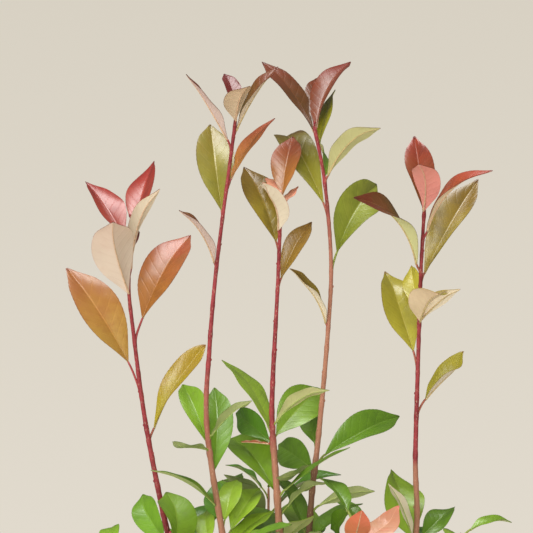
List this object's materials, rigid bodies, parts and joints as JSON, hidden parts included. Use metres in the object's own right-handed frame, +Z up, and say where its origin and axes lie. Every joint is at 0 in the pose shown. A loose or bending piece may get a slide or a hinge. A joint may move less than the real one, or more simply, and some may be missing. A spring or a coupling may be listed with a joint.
{
  "type": "potted photinia shrub",
  "caption": "Young evergreen photinia shrub in a plain clay pot, with tall bare red shoots tipped by bronze young leaves above a dense green bush.",
  "frame": {"origin": "centre of the pot's flat underside", "axes": "+Z up along the trunk, +X to the plant's right as it is looked at from the front, +Y to its back"},
  "size_m": [0.3588, 0.281, 0.8445],
  "materials": {
    "clay": "unglazed, matt, faintly chalky",
    "soil": "crumbly, matt potting soil with bark fines",
    "bark": "grey-brown, finely ridged bark with bud scars",
    "red_shoot": "smooth, slightly waxy, wine red, brown lower down",
    "green_leaf": "glossy and leathery above, matt and paler beneath",
    "young_leaf": "glossy bronze, red and olive above, matt cream to pink beneath",
    "leaf_underside": "matt and pale",
    "leaf_vein": "smooth midrib and stalk"
  },
  "bodies": {
    "root": {"pot": "clay", "soil": "soil", "trunk": "bark", "left_bough": "bark", "left_low_foliage": "green_leaf", "left_shoot": "red_shoot", "left_top_foliage": "young_leaf", "left_middle_bough": "bark", "left_middle_low_foliage": "green_leaf", "left_middle_shoot": "red_shoot", "left_middle_top_foliage": "young_leaf", "middle_bough": "bark", "middle_low_foliage": "green_leaf", "middle_shoot": "red_shoot", "middle_top_foliage": "young_leaf", "right_middle_bough": "bark", "right_middle_low_foliage": "green_leaf", "right_middle_shoot": "red_shoot", "right_middle_top_foliage": "young_leaf", "right_bough": "bark", "right_low_foliage": "green_leaf", "right_shoot": "red_shoot", "right_top_foliage": "young_leaf", "front_left_bough": "bark", "front_left_low_foliage": "green_leaf", "front_bough": "bark", "front_low_foliage": "green_leaf", "front_right_bough": "bark", "front_right_low_foliage": "green_leaf", "right_side_bough": "bark", "right_side_low_foliage": "green_leaf", "back_right_bough": "bark", "back_right_low_foliage": "green_leaf", "back_bough": "bark", "back_low_foliage": "green_leaf", "back_left_bough": "bark", "back_left_low_foliage": "green_leaf", "left_side_bough": "bark", "left_side_low_foliage": "green_leaf"}
  },
  "joints": []
}
